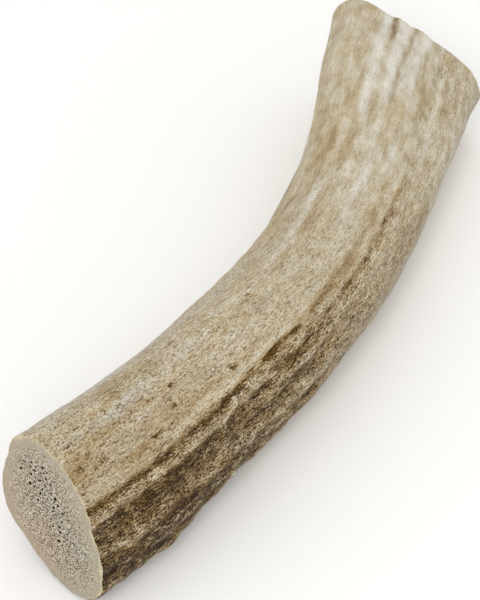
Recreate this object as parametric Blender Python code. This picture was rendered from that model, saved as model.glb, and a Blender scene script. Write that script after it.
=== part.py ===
"""A deer antler dog chew: one sawn length of antler beam, lying on its side.

The beam is one solid. It starts as a cylinder that is cut into rings. Each ring is moved to its place
along a curved centre line and shaped into the beam's oval section, with the gutters, ridges and
pearled lumps that antler grows with. Both ends are sawn flat, and their rims are slightly eased.
"""

import math

import bmesh
import bpy
import numpy as np

MM = 0.001
OBJECT_NAME = "deer_antler_dog_chew"
BEAM_NAME = "antler"

# Faces round the beam, and rings of faces along it.
SIDES = 96
RINGS = 49
SHARP_ABOVE = 40.0

# Stations from the thick sawn end to the flared one, in millimetres and degrees. Each has the centre
# x, y and z, the half width, the half thickness, the roll of the oval, how far it swells towards
# three sides, and how square it is, where 2 is an oval.
STATIONS = (
    (-81.5, 5.0, 18.8, 20.6, 14.6, 65.0, 1.3, 2.0),
    (-63.0, -0.5, 18.4, 19.4, 15.3, 62.0, 0.8, 2.0),
    (-38.2, -4.6, 17.3, 18.0, 15.5, 60.0, 0.3, 2.0),
    (-11.4, -9.0, 16.6, 16.8, 15.2, 56.0, 0.0, 2.0),
    (11.8, -9.4, 16.4, 16.4, 15.1, 52.0, 0.0, 2.1),
    (37.6, -5.8, 16.5, 16.7, 14.6, 48.0, 0.0, 2.2),
    (62.0, -0.1, 17.1, 18.8, 13.2, 43.0, 0.0, 2.4),
    (74.1, 3.5, 17.6, 20.4, 12.2, 40.0, 0.0, 2.6),
    (82.7, 5.7, 18.0, 22.4, 11.2, 37.0, 0.0, 2.6),
)
SWELL_SIDE = 200.0

# How the saw stood at each end: its turn and its pitch in degrees, at that share of the length.
SAW_CUTS = ((0.0, 2.5, -4.9), (1.0, -5.5, 0.0))
SAW_REACH = 0.12
RIM_EASE = 0.45

# Broad swellings and hollows: share of the length, angle round the beam, height, half length as a
# share of the length, and half width in degrees. Angle 0 is the outside of the bend, 90 is the top.
SWELLINGS = (
    (0.08, 260.0, 1.9, 0.05, 16.0),
    (0.93, 278.0, 2.0, 0.07, 18.0),
    (0.44, 292.0, 1.4, 0.10, 17.0),
    (0.00, 85.0, -1.6, 0.08, 26.0),
    (0.00, 35.0, 0.5, 0.08, 22.0),
    (0.00, 165.0, -0.7, 0.06, 24.0),
    (0.00, 215.0, 0.4, 0.05, 22.0),
    (0.00, 300.0, -0.5, 0.08, 24.0),
    (0.05, -43.0, 0.6, 0.07, 18.0),
    (0.25, 141.0, -1.4, 0.07, 22.0),
    (0.42, 142.0, 0.3, 0.05, 20.0),
    (0.40, -36.0, 0.5, 0.06, 18.0),
    (0.68, -20.0, 0.5, 0.06, 16.0),
    (0.84, -18.0, -0.6, 0.05, 16.0),
    (0.88, 148.0, 1.1, 0.07, 22.0),
    (1.00, 157.0, -0.6, 0.05, 18.0),
    (1.00, 109.0, -2.4, 0.05, 12.0),
    (1.00, 101.0, 0.8, 0.04, 4.0),
    (1.00, 89.0, -0.8, 0.05, 6.0),
    (1.00, 79.0, 0.5, 0.04, 4.0),
    (1.00, 45.0, 0.6, 0.05, 20.0),
    (0.93, -48.0, -0.9, 0.05, 15.0),
    (1.00, -36.0, -2.8, 0.06, 15.0),
    (1.00, 12.0, 1.0, 0.10, 24.0),
    (1.00, 12.0, 0.6, 0.035, 20.0),
    (0.52, 215.0, 0.7, 0.12, 26.0),
    (0.72, 292.0, -0.6, 0.10, 20.0),
)

# Gutters where the velvet's vessels lay: depth and half width in millimetres, then the route as
# shares of the length with the angle at each. A route dies out at its ends, and those that run on past
# a sawn end are cut through by it.
GUTTERS = (
    (0.45, 1.3, ((-0.02, 40), (0.10, 43.5), (0.21, 43), (0.30, 46), (0.40, 51), (0.62, 56))),
    (0.50, 1.5, ((-0.02, 22), (0.12, 26.5), (0.30, 29.5), (0.40, 33.5), (0.50, 38.5), (0.68, 42))),
    (0.35, 1.4, ((0.02, 12), (0.14, 10), (0.24, 11), (0.32, 14), (0.42, 17.5), (0.60, 21.5))),
    (0.45, 1.5, ((-0.02, -11), (0.06, -10), (0.13, -7.5), (0.22, -8), (0.34, -10), (0.52, -10))),
    (0.45, 1.5, ((-0.02, -27), (0.15, -26), (0.32, -24), (0.52, -29))),
    (0.45, 1.7, ((-0.02, -46), (0.22, -44), (0.45, -50), (0.70, -47))),
    (0.20, 1.2, ((0.00, 61), (0.14, 60), (0.22, 59), (0.30, 59.5), (0.40, 63), (0.52, 67))),
    (0.20, 1.3, ((0.00, 71), (0.12, 70), (0.20, 68.5), (0.32, 66))),
    (0.20, 1.5, ((0.06, 96), (0.17, 93), (0.28, 90.5), (0.38, 94), (0.52, 100), (0.68, 102))),
    (0.30, 1.8, ((0.20, 122), (0.45, 127), (0.62, 132), (0.80, 135))),
    (0.45, 1.1, ((0.80, 84.5), (0.89, 84.5), (0.96, 80.5), (1.05, 77))),
    (0.40, 1.2, ((0.76, 94), (0.84, 96.5), (0.94, 98.5), (1.05, 103))),
    (0.30, 1.6, ((0.70, 57), (0.86, 61), (0.93, 60), (1.05, 52))),
    (0.30, 1.8, ((0.66, 24), (0.82, 23), (1.05, 16))),
    (0.40, 1.7, ((-0.02, 150), (0.25, 153), (0.48, 149), (0.66, 156))),
    (0.50, 1.8, ((0.10, 176), (0.38, 172), (0.64, 178), (1.05, 171))),
    (0.50, 1.6, ((-0.02, 203), (0.30, 198), (0.58, 205), (0.86, 201))),
    (0.45, 1.9, ((0.24, 226), (0.52, 231), (0.78, 228), (1.05, 234))),
    (0.50, 1.6, ((0.20, 262), (0.42, 257), (0.70, 262), (0.94, 258))),
    (0.50, 1.7, ((0.30, 286), (0.55, 283), (0.76, 288), (1.05, 284))),
)
GUTTER_FADE = 0.05

# Raised ridges, laid out as the gutters are.
RIDGES = (
    (0.35, 2.6, ((-0.02, 32), (0.10, 34.5), (0.20, 36), (0.30, 38), (0.40, 42.5), (0.50, 46))),
    (0.25, 2.2, ((-0.02, 52), (0.20, 52), (0.34, 55), (0.50, 60))),
    (0.30, 2.6, ((-0.02, 1), (0.12, 0), (0.24, 1), (0.36, 2), (0.50, 4))),
    (0.30, 1.5, ((0.30, 22), (0.42, 25), (0.56, 30))),
    (0.20, 1.6, ((0.76, 88), (0.88, 90), (1.05, 90))),
    (0.20, 1.6, ((0.84, 76), (0.94, 73), (1.05, 67))),
    (0.15, 1.8, ((0.78, 102), (0.88, 104.5), (1.05, 110))),
)

# Pearls, the round lumps that stand close together on the rough side, low on the bend's outside.
PEARL_SEED = 11
PEARL_ROWS = 17
PEARL_LENGTHS = 21
PEARL_HEIGHT = 0.55
PEARL_HALF_LENGTH = 2.6
PEARL_HALF_WIDTH = 1.25
PEARLS_FROM = -122.0
PEARLS_TO = 26.0
PEARLS_END = 0.66

# How far a pearl strays from the grid, the smallest and largest size of one, and how fast they die out
# towards the flared end, the lower edge and the upper edge.
PEARL_STRAY = 0.3
PEARL_SIZES = (0.55, 1.3)
PEARL_FADES = (1.6, 5.0, 4.0)
PEARL_REACH = 3.0

# Slow waves in the surface: height, waves along the beam, waves round it, and phase in degrees.
WAVES = (
    (0.20, 2.6, 3, 40.0),
    (0.16, 4.3, 5, 205.0),
    (0.10, 9.0, 8, 110.0),
)

# The radius at which an angle round the beam is turned into a width.
MIDDLE_RADIUS = 16.0


def along(rows, share):
    """Values at shares of the length, on a smooth curve through rows whose first column is the share."""
    rows = np.asarray(rows, float)
    at = rows[:, 0]
    values = rows[:, 1:]
    slopes = np.gradient(values, at, axis=0)
    i = np.clip(np.searchsorted(at, share, side="right") - 1, 0, len(at) - 2)
    step = (at[i + 1] - at[i])[:, None]
    u = (share[:, None] - at[i][:, None]) / step
    return (
        (2 * u**3 - 3 * u**2 + 1) * values[i]
        + (u**3 - 2 * u**2 + u) * step * slopes[i]
        + (3 * u**2 - 2 * u**3) * values[i + 1]
        + (u**3 - u**2) * step * slopes[i + 1]
    )


def station_rows():
    """The stations, each with its share of the length in front."""
    stations = np.array(STATIONS)
    gaps = np.linalg.norm(np.diff(stations[:, :3], axis=0), axis=1)
    reached = np.concatenate([[0.0], np.cumsum(gaps)])
    return np.column_stack([reached / reached[-1], stations])


def smooth_step(u):
    u = np.clip(u, 0.0, 1.0)
    return u * u * (3 - 2 * u)


def turn_between(angles, at):
    """Degrees from an angle, the short way round."""
    return (angles - at + 180.0) % 360.0 - 180.0


def section_axes(share):
    """The sections' outward and upward directions, which lie in the saw's plane at the two ends."""
    rows = station_rows()
    nudge = 1e-4
    ahead = along(rows, np.clip(share + nudge, 0, 1))[:, :3]
    behind = along(rows, np.clip(share - nudge, 0, 1))[:, :3]
    run = ahead - behind
    run /= np.linalg.norm(run, axis=1)[:, None]
    turn = np.arctan2(run[:, 1], run[:, 0])
    pitch = np.arcsin(run[:, 2])
    for end, cut_turn, cut_pitch in SAW_CUTS:
        weight = smooth_step(1 - np.abs(share - end) / SAW_REACH)
        turn += weight * math.radians(cut_turn)
        pitch += weight * math.radians(cut_pitch)
    run = np.column_stack([np.cos(turn) * np.cos(pitch), np.sin(turn) * np.cos(pitch), np.sin(pitch)])
    outward = np.cross(run, (0.0, 0.0, 1.0))
    outward /= np.linalg.norm(outward, axis=1)[:, None]
    return outward, np.cross(outward, run)


def gutters_and_ridges(share, angle):
    height = np.zeros(len(share))
    for sign, lines in ((-1, GUTTERS), (1, RIDGES)):
        for size, half_width, route in lines:
            at, angles = np.array(route, float).T
            aside = turn_between(angle, np.interp(share, at, angles))
            aside *= math.radians(MIDDLE_RADIUS) / half_width
            start = smooth_step((share - at[0]) / GUTTER_FADE)
            end = smooth_step((at[-1] - share) / GUTTER_FADE)
            height += sign * size * start * end * np.exp(-(aside**2))
    return height


def pearl_places():
    """Share of the length, angle, height, half length and half width of each pearl, on a loose grid."""
    rng = np.random.default_rng(PEARL_SEED)
    pearls = []
    for row in range(PEARL_ROWS):
        for column in range(PEARL_LENGTHS):
            stray = rng.uniform(-PEARL_STRAY, PEARL_STRAY)
            share = PEARLS_END * (column + 0.5 * (row % 2) + stray) / PEARL_LENGTHS
            across = (row + rng.uniform(-PEARL_STRAY, PEARL_STRAY)) / (PEARL_ROWS - 1)
            size = rng.uniform(*PEARL_SIZES)
            fewer = smooth_step((1 - share / PEARLS_END) * PEARL_FADES[0])
            rough = smooth_step(PEARL_FADES[1] * across) * smooth_step(PEARL_FADES[2] * (1 - across))
            pearls.append(
                (
                    share,
                    PEARLS_FROM + (PEARLS_TO - PEARLS_FROM) * across,
                    PEARL_HEIGHT * size * fewer * rough,
                    PEARL_HALF_LENGTH * size,
                    PEARL_HALF_WIDTH * size,
                )
            )
    return pearls


def pearling(share, angle, length):
    height = np.zeros(len(share))
    for at, at_angle, tall, half_length, half_width in pearl_places():
        lengthwise = (share - at) * length / half_length
        near = np.abs(lengthwise) < PEARL_REACH
        sideways = turn_between(angle[near], at_angle) * math.radians(MIDDLE_RADIUS) / half_width
        height[near] += tall * np.exp(-(lengthwise[near] ** 2) - sideways**2)
    return height


def relief(share, angle, length):
    """How far the bark stands out of the smooth section, in millimetres."""
    height = gutters_and_ridges(share, angle) + pearling(share, angle, length)
    for at, at_angle, tall, half_length, half_width in SWELLINGS:
        lengthwise = (share - at) / half_length
        sideways = turn_between(angle, at_angle) / half_width
        height += tall * np.exp(-(lengthwise**2) - sideways**2)
    for tall, waves_along, waves_round, phase in WAVES:
        turned = 2 * math.pi * waves_along * share + math.radians(phase)
        height += tall * np.sin(turned) * np.cos(waves_round * np.radians(angle) + turned / 2)
    return height


def beam_length():
    return np.linalg.norm(np.diff(np.array(STATIONS)[:, :3], axis=0), axis=1).sum()


def beam_surface(share, angle, inset):
    """Points at an inset under the bark, in millimetres, at shares of the length and angles round it."""
    values = along(station_rows(), share)
    centre = values[:, :3]
    half_width, half_thickness, roll, swell, square = values[:, 3:].T
    turned = np.radians(angle + roll)
    oval = np.abs(np.cos(turned) / half_width) ** square + np.abs(np.sin(turned) / half_thickness) ** square
    radius = oval ** (-1 / square)
    radius += swell * np.cos(3 * np.radians(angle - SWELL_SIDE))
    radius += relief(share, angle, beam_length()) - inset
    outward, upward = section_axes(share)
    out = (radius * np.cos(np.radians(angle)))[:, None] * outward
    up = (radius * np.sin(np.radians(angle)))[:, None] * upward
    return centre + out + up


def make_beam():
    """The beam's mesh, in metres, standing on z = 0 with the middle of its box over the origin."""
    bm = bmesh.new()
    bmesh.ops.create_cone(bm, cap_ends=True, segments=SIDES, radius1=1, radius2=1, depth=1)
    upright = [e for e in bm.edges if abs(e.verts[0].co.z - e.verts[1].co.z) > 0.5]
    bmesh.ops.subdivide_edges(bm, edges=upright, cuts=RINGS - 1)

    # The first and last rings of faces are the eased rims.
    ease = RIM_EASE / beam_length()
    shares = np.concatenate([[0], np.linspace(ease, 1 - ease, RINGS - 1), [1]])
    insets = np.zeros(RINGS + 1)
    insets[[0, -1]] = RIM_EASE

    # The angle runs against the cylinder's own, which keeps the faces pointing out.
    start = np.array([v.co for v in bm.verts])
    ring = np.rint((start[:, 2] + 0.5) * RINGS).astype(int)
    angle = np.degrees(np.arctan2(-start[:, 1], start[:, 0]))
    places = beam_surface(shares[ring], angle, insets[ring]) * MM
    low = places.min(axis=0)
    high = places.max(axis=0)
    places -= ((low[0] + high[0]) / 2, (low[1] + high[1]) / 2, low[2])
    for vert, place in zip(bm.verts, places):
        vert.co = place

    mesh = bpy.data.meshes.new(BEAM_NAME)
    bm.to_mesh(mesh)
    bm.free()
    mesh.shade_smooth()
    mesh.set_sharp_from_angle(angle=math.radians(SHARP_ABOVE))
    return mesh


def antler_material():
    """Weathered antler: tan, with a dull polish."""
    material = bpy.data.materials.new("antler")
    material.use_nodes = True
    shader = material.node_tree.nodes["Principled BSDF"]
    shader.inputs["Base Color"].default_value = (0.42, 0.33, 0.21, 1.0)
    shader.inputs["Roughness"].default_value = 0.6
    shader.inputs["Metallic"].default_value = 0.0
    return material


def main():
    for leftover in list(bpy.data.objects):
        bpy.data.objects.remove(leftover)
    collection = bpy.data.collections.new(OBJECT_NAME)
    bpy.context.scene.collection.children.link(collection)
    beam = bpy.data.objects.new(BEAM_NAME, make_beam())
    beam.data.materials.append(antler_material())
    collection.objects.link(beam)


main()
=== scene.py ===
"""The looks of a deer antler dog chew: one sawn length of antler beam, lying on a plain pale floor.

The beam is one closed mesh that stands for the frame's plain solid and keeps its form. Its bark has
finer relief, and both sawn faces have real pores. Lengths in the tables below are in millimetres.
"""

import math

import bmesh
import bpy
import numpy as np
from bpy.props import FloatProperty, FloatVectorProperty, IntProperty, PointerProperty
from mathutils import Matrix, Vector, noise


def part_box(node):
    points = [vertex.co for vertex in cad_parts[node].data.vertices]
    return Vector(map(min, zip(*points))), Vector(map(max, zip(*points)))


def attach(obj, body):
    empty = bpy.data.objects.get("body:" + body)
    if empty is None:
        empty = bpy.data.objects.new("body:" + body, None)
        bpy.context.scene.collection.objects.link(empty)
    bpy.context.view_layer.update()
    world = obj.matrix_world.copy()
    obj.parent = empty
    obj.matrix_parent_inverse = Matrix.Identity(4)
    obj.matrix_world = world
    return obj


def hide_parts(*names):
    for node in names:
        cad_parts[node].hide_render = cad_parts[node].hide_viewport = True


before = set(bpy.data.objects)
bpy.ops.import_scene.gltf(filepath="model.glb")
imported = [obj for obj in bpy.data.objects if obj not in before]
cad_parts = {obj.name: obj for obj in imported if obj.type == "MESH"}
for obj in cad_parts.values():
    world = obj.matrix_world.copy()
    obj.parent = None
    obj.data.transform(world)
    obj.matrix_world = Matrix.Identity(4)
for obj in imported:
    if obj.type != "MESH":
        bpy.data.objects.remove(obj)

bl_info = {
    "name": "Deer antler dog chew",
    "version": (1, 0, 0),
    "blender": (4, 5, 0),
    "location": "View3D > Sidebar > Antler",
    "description": "Makes a sawn length of antler beam with stained bark and porous sawn faces",
    "category": "Add Mesh",
}

MM = 0.001
NODE = "antler"
PIECE = "antler_beam"

# The solid's own form, as in its source. Its faces round the beam and rings of faces along it.
SOLID_SIDES = 96
SOLID_RINGS = 49

# Stations from the thick sawn end to the flared one, in millimetres and degrees. Each has the centre x, y
# and z, the half width, the half thickness, the roll of the oval, how far it swells towards three sides,
# and how square it is, where 2 is an oval. All centres but the first are numbers that a program printed.
# The first station, the first saw cut and some of the swellings below were fitted by such programs and then
# rounded.
STATIONS = (
    (-81.5, 5.0, 18.8, 20.6, 14.6, 65.0, 1.3, 2.0),
    (-63.0, -0.5, 18.4, 19.4, 15.3, 62.0, 0.8, 2.0),
    (-38.2, -4.6, 17.3, 18.0, 15.5, 60.0, 0.3, 2.0),
    (-11.4, -9.0, 16.6, 16.8, 15.2, 56.0, 0.0, 2.0),
    (11.8, -9.4, 16.4, 16.4, 15.1, 52.0, 0.0, 2.1),
    (37.6, -5.8, 16.5, 16.7, 14.6, 48.0, 0.0, 2.2),
    (62.0, -0.1, 17.1, 18.8, 13.2, 43.0, 0.0, 2.4),
    (74.1, 3.5, 17.6, 20.4, 12.2, 40.0, 0.0, 2.6),
    (82.7, 5.7, 18.0, 22.4, 11.2, 37.0, 0.0, 2.6),
)

# The angle of one of the three sides that the sections swell towards.
SWELL_SIDE = 200.0

# How the saw stood at each end: its turn and its pitch in degrees, at that share of the length.
SAW_CUTS = ((0.0, 2.5, -4.9), (1.0, -5.5, 0.0))

# The share of the length over which the sections turn into the saw's plane, and the radius of the worn
# edge round a sawn face.
SAW_REACH = 0.12
RIM_EASE = 0.45

# Broad swellings and hollows: share of the length, angle round the beam, height, half length as a
# share of the length, and half width in degrees. Angle 0 is the outside of the bend, 90 is the top.
SWELLINGS = (
    (0.08, 260.0, 1.9, 0.05, 16.0),
    (0.93, 278.0, 2.0, 0.07, 18.0),
    (0.44, 292.0, 1.4, 0.10, 17.0),
    (0.00, 85.0, -1.6, 0.08, 26.0),
    (0.00, 35.0, 0.5, 0.08, 22.0),
    (0.00, 165.0, -0.7, 0.06, 24.0),
    (0.00, 215.0, 0.4, 0.05, 22.0),
    (0.00, 300.0, -0.5, 0.08, 24.0),
    (0.05, -43.0, 0.6, 0.07, 18.0),
    (0.25, 141.0, -1.4, 0.07, 22.0),
    (0.42, 142.0, 0.3, 0.05, 20.0),
    (0.40, -36.0, 0.5, 0.06, 18.0),
    (0.68, -20.0, 0.5, 0.06, 16.0),
    (0.84, -18.0, -0.6, 0.05, 16.0),
    (0.88, 148.0, 1.1, 0.07, 22.0),
    (1.00, 157.0, -0.6, 0.05, 18.0),
    (1.00, 109.0, -2.4, 0.05, 12.0),
    (1.00, 101.0, 0.8, 0.04, 4.0),
    (1.00, 89.0, -0.8, 0.05, 6.0),
    (1.00, 79.0, 0.5, 0.04, 4.0),
    (1.00, 45.0, 0.6, 0.05, 20.0),
    (0.93, -48.0, -0.9, 0.05, 15.0),
    (1.00, -36.0, -2.8, 0.06, 15.0),
    (1.00, 12.0, 1.0, 0.10, 24.0),
    (1.00, 12.0, 0.6, 0.035, 20.0),
    (0.52, 215.0, 0.7, 0.12, 26.0),
    (0.72, 292.0, -0.6, 0.10, 20.0),
)

# Gutters where the velvet's vessels lay: depth and half width in millimetres, then the route as
# shares of the length with the angle at each. A route dies out at its ends, and those that run on past
# a sawn end are cut through by it.
GUTTERS = (
    (0.45, 1.3, ((-0.02, 40), (0.10, 43.5), (0.21, 43), (0.30, 46), (0.40, 51), (0.62, 56))),
    (0.50, 1.5, ((-0.02, 22), (0.12, 26.5), (0.30, 29.5), (0.40, 33.5), (0.50, 38.5), (0.68, 42))),
    (0.35, 1.4, ((0.02, 12), (0.14, 10), (0.24, 11), (0.32, 14), (0.42, 17.5), (0.60, 21.5))),
    (0.45, 1.5, ((-0.02, -11), (0.06, -10), (0.13, -7.5), (0.22, -8), (0.34, -10), (0.52, -10))),
    (0.45, 1.5, ((-0.02, -27), (0.15, -26), (0.32, -24), (0.52, -29))),
    (0.45, 1.7, ((-0.02, -46), (0.22, -44), (0.45, -50), (0.70, -47))),
    (0.20, 1.2, ((0.00, 61), (0.14, 60), (0.22, 59), (0.30, 59.5), (0.40, 63), (0.52, 67))),
    (0.20, 1.3, ((0.00, 71), (0.12, 70), (0.20, 68.5), (0.32, 66))),
    (0.20, 1.5, ((0.06, 96), (0.17, 93), (0.28, 90.5), (0.38, 94), (0.52, 100), (0.68, 102))),
    (0.30, 1.8, ((0.20, 122), (0.45, 127), (0.62, 132), (0.80, 135))),
    (0.45, 1.1, ((0.80, 84.5), (0.89, 84.5), (0.96, 80.5), (1.05, 77))),
    (0.40, 1.2, ((0.76, 94), (0.84, 96.5), (0.94, 98.5), (1.05, 103))),
    (0.30, 1.6, ((0.70, 57), (0.86, 61), (0.93, 60), (1.05, 52))),
    (0.30, 1.8, ((0.66, 24), (0.82, 23), (1.05, 16))),
    (0.40, 1.7, ((-0.02, 150), (0.25, 153), (0.48, 149), (0.66, 156))),
    (0.50, 1.8, ((0.10, 176), (0.38, 172), (0.64, 178), (1.05, 171))),
    (0.50, 1.6, ((-0.02, 203), (0.30, 198), (0.58, 205), (0.86, 201))),
    (0.45, 1.9, ((0.24, 226), (0.52, 231), (0.78, 228), (1.05, 234))),
    (0.50, 1.6, ((0.20, 262), (0.42, 257), (0.70, 262), (0.94, 258))),
    (0.50, 1.7, ((0.30, 286), (0.55, 283), (0.76, 288), (1.05, 284))),
)

# The share of the length over which a route dies out at each of its ends.
FADE = 0.05

# Raised ridges, laid out as the gutters are.
RIDGES = (
    (0.35, 2.6, ((-0.02, 32), (0.10, 34.5), (0.20, 36), (0.30, 38), (0.40, 42.5), (0.50, 46))),
    (0.25, 2.2, ((-0.02, 52), (0.20, 52), (0.34, 55), (0.50, 60))),
    (0.30, 2.6, ((-0.02, 1), (0.12, 0), (0.24, 1), (0.36, 2), (0.50, 4))),
    (0.30, 1.5, ((0.30, 22), (0.42, 25), (0.56, 30))),
    (0.20, 1.6, ((0.76, 88), (0.88, 90), (1.05, 90))),
    (0.20, 1.6, ((0.84, 76), (0.94, 73), (1.05, 67))),
    (0.15, 1.8, ((0.78, 102), (0.88, 104.5), (1.05, 110))),
)

# Pearls, the round lumps that stand close together on the rough side, low on the bend's outside.
PEARL_SEED = 11
PEARL_ROWS = 17
PEARL_LENGTHS = 21
PEARL_HEIGHT = 0.55
PEARL_HALF_LENGTH = 2.6
PEARL_HALF_WIDTH = 1.25
PEARLS_FROM = -122.0
PEARLS_TO = 26.0
PEARLS_END = 0.66

# How far a pearl strays from the grid, the smallest and largest size of one, how fast they die out
# towards the flared end, the lower edge and the upper edge, and how many half lengths from its middle
# a pearl still has any height.
PEARL_STRAY = 0.3
PEARL_SIZES = (0.55, 1.3)
PEARL_FADES = (1.6, 5.0, 4.0)
PEARL_REACH = 3.0

# Slow waves in the surface: height, waves along the beam, waves round it, and phase in degrees.
WAVES = (
    (0.20, 2.6, 3, 40.0),
    (0.16, 4.3, 5, 205.0),
    (0.10, 9.0, 8, 110.0),
)

# The radius at which an angle round the beam is turned into a width.
MIDDLE_RADIUS = 16.0

# Insets under the bark of the rings on a sawn face, the last one being where the pores' field starts,
# and the number of steps that round off the worn edge.
FACE_INSETS = (0.8, 1.5, 2.1)
RIM_STEPS = 3

# How far under the bark its colour runs down over the worn edge of a sawn face.
BARK_REACH = 0.25

# Pores: the pores' field on each sawn face has coarse pores scattered about a line, from one point
# to another on the face, and fine pores all over. Points are across (towards the bend's outside) and
# up from the middle of the face.
PORE_FIELDS = (
    {
        "share": 0.0,
        "seed": 5,
        "coarse": 52,
        "fine": 640,
        "line": ((-5.8, 11.8), (4.8, -5.0)),
        "spread": 1.7,
    },
    {
        "share": 1.0,
        "seed": 8,
        "coarse": 50,
        "fine": 420,
        "line": ((-9.0, -2.5), (10.0, 5.5)),
        "spread": 1.6,
    },
)
COARSE_PORE = (0.24, 0.55)
FINE_PORE = (0.11, 0.22)

# How far the fine pores reach past the ends of the line, as shares of it, and how much wider than the
# coarse ones they are spread.
FINE_BEYOND = 0.55
FINE_SPREAD = 2.6

# How far the longest pore reaches, as a multiple of its radius, and the bone left between two pores.
PORE_REACH = 1.5
PORE_GAP = 0.05

# Pores thin out over this distance inside the edge of their field, and so many places are tried for
# each pore that is wanted.
PORE_THINNING = 3.0
PORE_TRIES = 30

# Pores are drawn out along this direction across a sawn face, in degrees from the across to the up
# direction, give or take a spread in radians, by a stretch between these two. The sponge's grains are
# turned by this about the beam's length, in degrees.
PORE_TURN = 56.0
PORE_TURN_SPREAD = 0.5
PORE_STRETCH = (1.1, 1.8)
SPONGE_TURN = 34.0

# The corners of a coarse and a fine pore, how far out a corner lies as a share of the radius, and what
# is added to a field's seed for its pores' shapes.
COARSE_CORNERS = 8
FINE_CORNERS = 6
PORE_RAGGED = (0.8, 1.15)
SHAPE_SEED = 100

# A pit's depth grows with its pore's width, from this share of the full depth to all of it, and is
# multiplied by a random number between the next two. Then the rings of points down a pit: how wide
# each is against the one above it, and its share of the pit's depth.
SHALLOWEST = 0.5
PIT_DEPTHS = (0.7, 1.0)
PIT_RINGS = ((0.8, 0.5), (0.5, 1.0))

# Points of the bark and of a sawn face that are nearer than this, in metres, are joined, and edges
# where the surface turns by more degrees than this are shaded sharp.
WELD = 1e-6
SHARP_ABOVE = 40.0

# How light the clean bark is along its length, where 0 is black and 1 is white.
BARK_TONE = (
    (0.0, 0.595), (0.12, 0.585), (0.3, 0.625), (0.5, 0.64),
    (0.72, 0.675), (0.86, 0.668), (1.0, 0.67),
)

# The rough side's brown stain: how much darker, and the angle of its upper edge, along the length.
ROUGH_STAIN = (
    (0.0, 0.34), (0.12, 0.34), (0.24, 0.28), (0.33, 0.18),
    (0.45, 0.14), (0.56, 0.07), (0.75, 0.0),
)
ROUGH_EDGE = (
    (0.0, 26.0), (0.06, 27.0), (0.12, 31.0), (0.2, 34.0), (0.3, 34.5),
    (0.4, 37.0), (0.5, 40.0), (0.65, 42.0), (1.0, 44.0),
)

# How many degrees the upper edge takes to fade, how far it wanders with the width and length of that
# in millimetres, the angle of the lower edge, and how many degrees that one takes.
ROUGH_SOFTNESS = 6.0
ROUGH_EDGE_WANDER = (6.0, (3.0, 4.5))
ROUGH_LOWER_EDGE = -135.0
ROUGH_FADE = 25.0

# How much lighter a pearl's top is than the hollow beside it, how much darker a crack is, and how much
# lighter fine ridges are than fine hollows, all for each millimetre of height.
PEARL_TONE = 0.22
CRACK_TONE = 0.9
FINE_TONE = 0.22

# How strong the bark's fine grain and its mottles are along its length, and a mottle's width and
# length in millimetres.
GRAIN_STRENGTH = ((0.0, 1.2), (0.3, 1.1), (0.5, 0.85), (0.65, 0.55), (0.8, 0.38), (1.0, 0.32))
MOTTLING = ((0.0, 0.03), (0.5, 0.04), (0.7, 0.08), (1.0, 0.10))
MOTTLE_CELL = (2.2, 3.4)

# How much stronger both are on the rough side, the angle where that begins and the degrees it takes,
# and the share of the length where the rough side's mottles end and the share that this takes.
ROUGH_GRAIN = 1.15
ROUGH_MOTTLING = 0.13
ROUGH_FROM = 52.0
ROUGH_FROM_FADE = 12.0
ROUGH_MOTTLES_END = 0.6
ROUGH_MOTTLES_FADE = 0.3
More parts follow.
